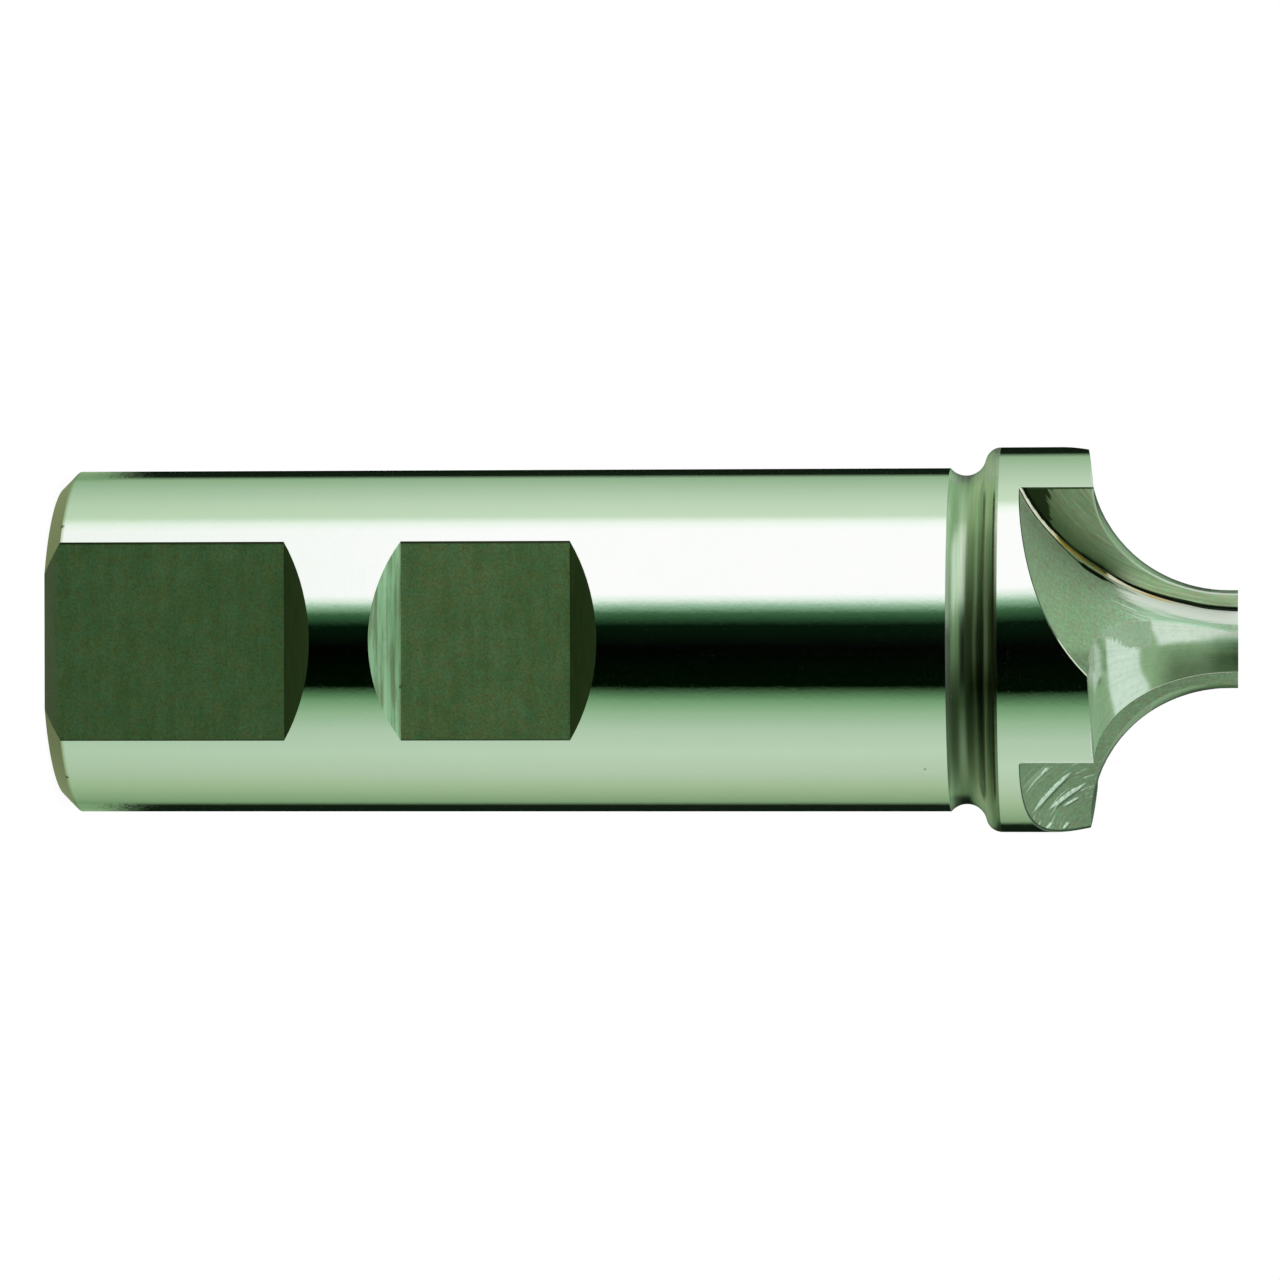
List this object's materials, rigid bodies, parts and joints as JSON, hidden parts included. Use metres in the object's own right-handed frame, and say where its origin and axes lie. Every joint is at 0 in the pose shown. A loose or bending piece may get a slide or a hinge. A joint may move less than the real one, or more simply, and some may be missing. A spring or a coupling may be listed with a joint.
{
  "type": "corner rounding end mill",
  "caption": "Corner rounding end mill: hollow quarter-circle teeth at the tip round the outer edge of a workpiece; round shank with side-lock flats.",
  "frame": {"origin": "middle of the shank's end face, which the tool stands on", "axes": "+Z along the tool's axis to the cutting tip, -Y square out of the two side-lock flats"},
  "size_m": [0.028, 0.028, 0.0858],
  "materials": {
    "tool_steel": "cylindrical grinding on shank and head, milled flats, ground teeth"
  },
  "bodies": {
    "root": {"end_mill": "tool_steel"}
  },
  "joints": []
}
